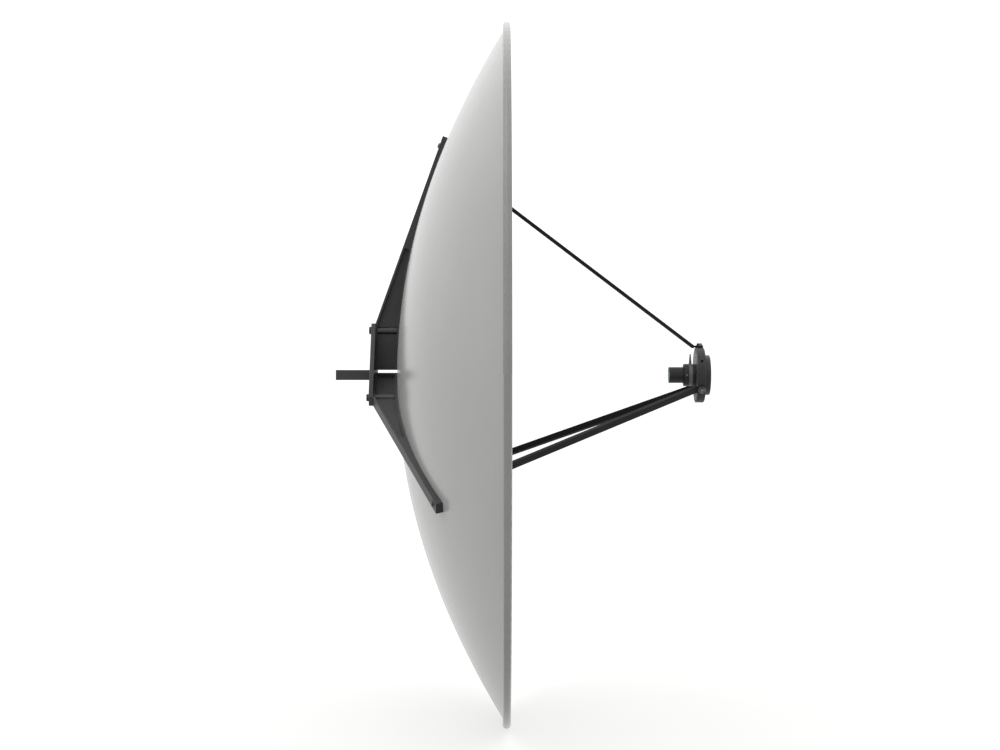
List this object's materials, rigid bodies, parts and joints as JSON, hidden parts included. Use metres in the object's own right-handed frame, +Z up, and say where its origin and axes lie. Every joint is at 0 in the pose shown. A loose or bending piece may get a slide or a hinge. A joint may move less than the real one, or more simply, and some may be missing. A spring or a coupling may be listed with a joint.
{
  "type": "prime focus reflector antenna",
  "caption": "Prime-focus parabolic dish antenna with ribbed back frame, square mounting stub, tripod feed legs and an adjustable waveguide feed.",
  "frame": {"origin": "middle of the vertical pin hole in the mounting stub", "axes": "+X is the boresight, from the stub towards the feed; +Z is up, along the pin hole and the top rib; +Y is left when looking along the boresight"},
  "size_m": [1.3343, 2.4858, 2.4859],
  "materials": {
    "dish_gelcoat": "pale grey gel coat on glass-fibre laminate, fine satin grain",
    "rim_gelcoat": "grey moulded rim bead, smoother than the shell",
    "frame_paint": "dark grey powder coat",
    "cap_plastic": "dark grey moulded plastic",
    "sleeve_steel": "dull passivated steel tube",
    "zinc_steel": "zinc-plated steel, satin",
    "strut_paint": "dark grey powder coat on flat bar",
    "pad_rubber": "black moulded rubber",
    "scalar_paint": "mid grey paint on cast metal",
    "feed_plastic": "light grey moulded plastic",
    "cover_plastic": "mid grey moulded plastic, satin",
    "horn_paint": "dark grey paint on drawn tube",
    "ptfe": "white fluoropolymer sheet",
    "board_laminate": "green glass-epoxy laminate",
    "nickel_brass": "nickel-plated brass"
  },
  "bodies": {
    "antenna": {"reflector": "dish_gelcoat", "rim_bead": "rim_gelcoat", "rear_plate": "frame_paint", "centre_tube": "frame_paint", "mount_stub": "frame_paint", "rib_top": "frame_paint", "rib_right": "frame_paint", "rib_left": "frame_paint", "rib_end_caps": "cap_plastic", "hub_sleeves": "sleeve_steel", "hub_bolts": "zinc_steel", "hub_saddles": "zinc_steel", "hub_washers": "zinc_steel", "hub_nuts": "zinc_steel", "tip_bolts": "zinc_steel", "tip_washers": "zinc_steel", "tip_nuts": "zinc_steel", "strut_top": "strut_paint", "strut_right": "strut_paint", "strut_left": "strut_paint", "strut_pads": "pad_rubber", "scalar_ring": "scalar_paint", "scalar_cover": "feed_plastic", "leg_washers": "zinc_steel", "leg_screws": "zinc_steel"},
    "feed_carriage": {"feed_barrel": "scalar_paint", "cover_gasket": "pad_rubber", "rear_cover": "cover_plastic", "cover_screws": "zinc_steel", "cable_sockets": "nickel_brass", "amplifier_board": "board_laminate", "pickup_probes": "nickel_brass"},
    "polariser": {"horn_tube": "horn_paint", "horn_window": "ptfe", "polariser_vane": "ptfe", "lock_collar": "scalar_paint", "collar_screws": "zinc_steel", "index_pointer": "feed_plastic", "horn_circlip": "zinc_steel"}
  },
  "joints": [
    {"name": "focus_slide", "type": "slide", "parent": "antenna", "child": "feed_carriage", "axis": [1, 0, 0], "range_m": [0, 0.01]},
    {"name": "polarisation_turn", "type": "hinge", "parent": "feed_carriage", "child": "polariser", "pos_m": [1.2, 0, 0], "axis": [1, 0, 0], "range_deg": [-45, 45]}
  ]
}
